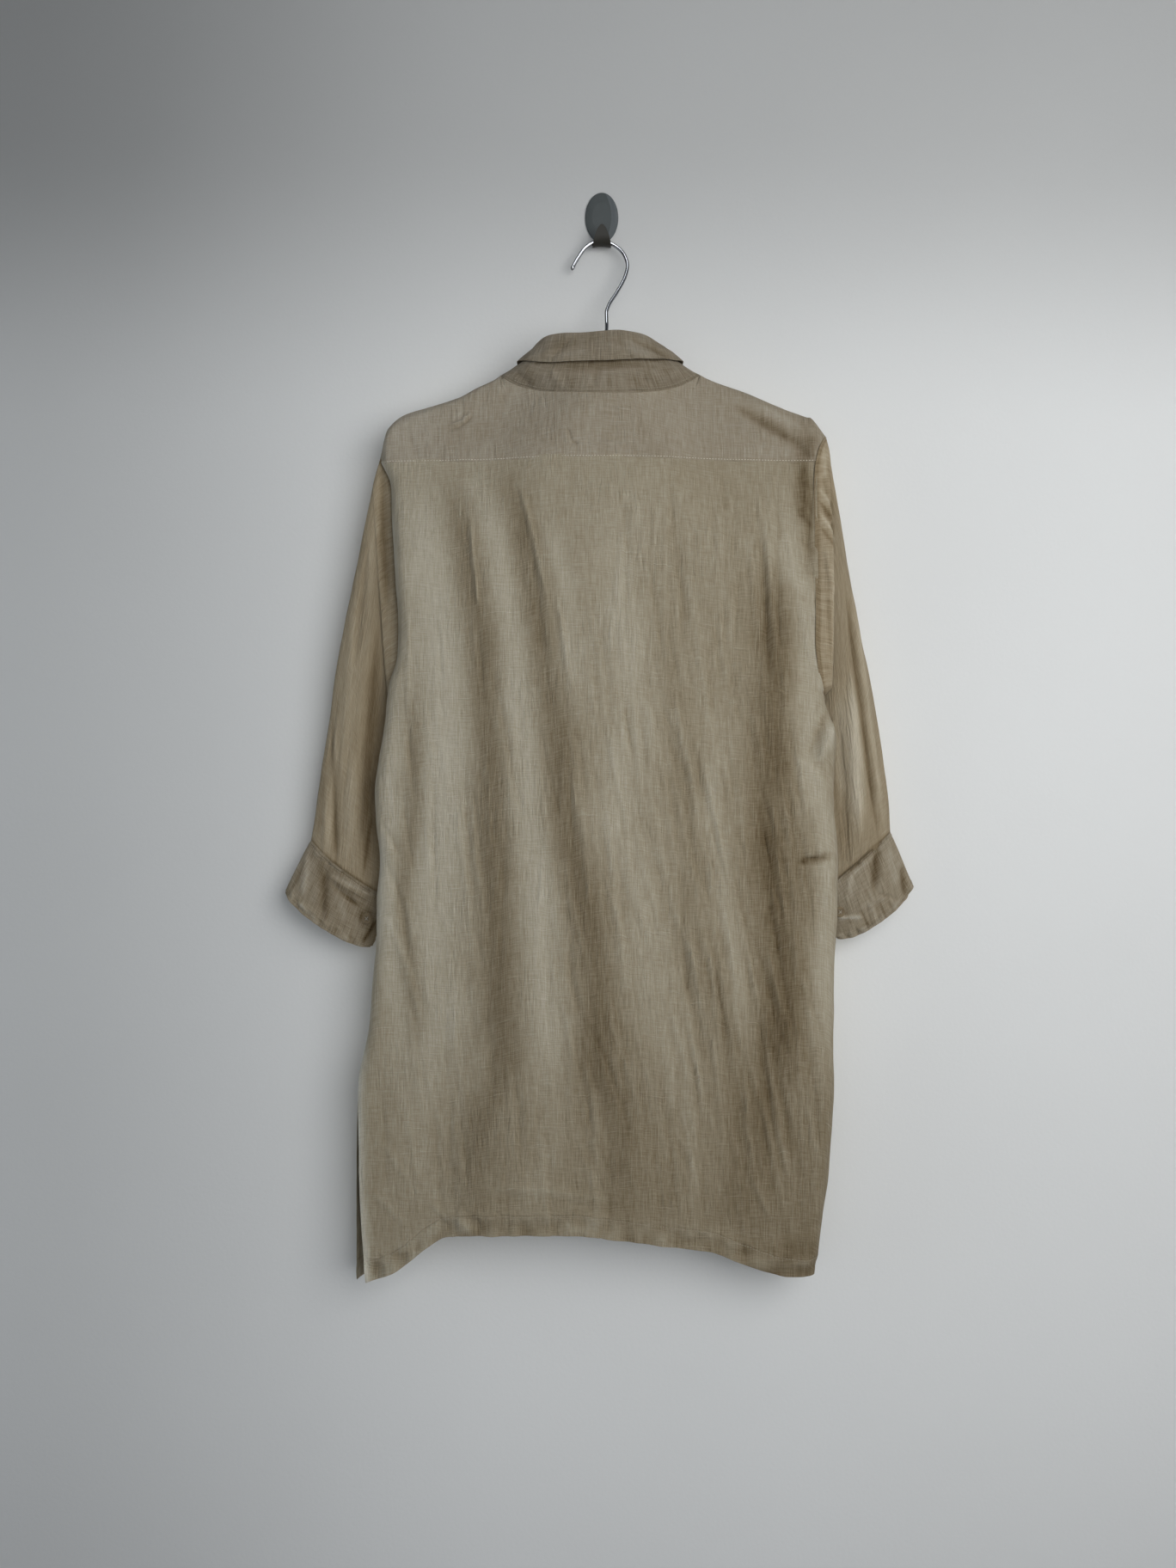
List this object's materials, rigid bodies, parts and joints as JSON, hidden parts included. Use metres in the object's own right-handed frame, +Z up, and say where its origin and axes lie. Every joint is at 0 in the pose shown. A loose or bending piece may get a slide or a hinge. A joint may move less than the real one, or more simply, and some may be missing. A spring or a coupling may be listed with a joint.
{
  "type": "dress shirt",
  "caption": "Long linen shirt with collar and three-quarter sleeves, hanging on a wire-hook hanger from an oval wall hook.",
  "frame": {"origin": "centre of the wall hook plate's flat back face, on the wall plane", "axes": "+Y into the wall, +Z up, +X to the right as the shirt's back is looked at"},
  "size_m": [0.6545, 0.0843, 1.1344],
  "materials": {
    "back": "matte plain-weave linen",
    "yoke": "matte plain-weave linen",
    "front_left": "matte plain-weave linen",
    "front_right": "matte plain-weave linen",
    "front_placket": "matte plain-weave linen",
    "sleeve_left": "matte plain-weave linen",
    "sleeve_right": "matte plain-weave linen",
    "cuff_left": "matte plain-weave linen",
    "cuff_right": "matte plain-weave linen",
    "collar_stand": "matte plain-weave linen",
    "collar": "matte plain-weave linen",
    "neck_label": "bare woven label",
    "button_front_1": "satin",
    "button_front_2": "satin",
    "button_front_3": "satin",
    "button_front_4": "satin",
    "button_front_5": "satin",
    "button_front_6": "satin",
    "button_front_7": "satin",
    "button_collar": "satin",
    "button_cuff_left": "satin",
    "button_cuff_right": "satin",
    "hanger": "clear-coated",
    "hanger_wire": "polished",
    "wall_hook": "satin dark grey"
  },
  "bodies": {
    "root": {"back": "back", "yoke": "yoke", "front_left": "front_left", "front_right": "front_right", "front_placket": "front_placket", "sleeve_left": "sleeve_left", "sleeve_right": "sleeve_right", "cuff_left": "cuff_left", "cuff_right": "cuff_right", "collar_stand": "collar_stand", "collar": "collar", "neck_label": "neck_label", "button_front_1": "button_front_1", "button_front_2": "button_front_2", "button_front_3": "button_front_3", "button_front_4": "button_front_4", "button_front_5": "button_front_5", "button_front_6": "button_front_6", "button_front_7": "button_front_7", "button_collar": "button_collar", "button_cuff_left": "button_cuff_left", "button_cuff_right": "button_cuff_right", "hanger": "hanger", "hanger_wire": "hanger_wire", "wall_hook": "wall_hook"}
  },
  "joints": []
}
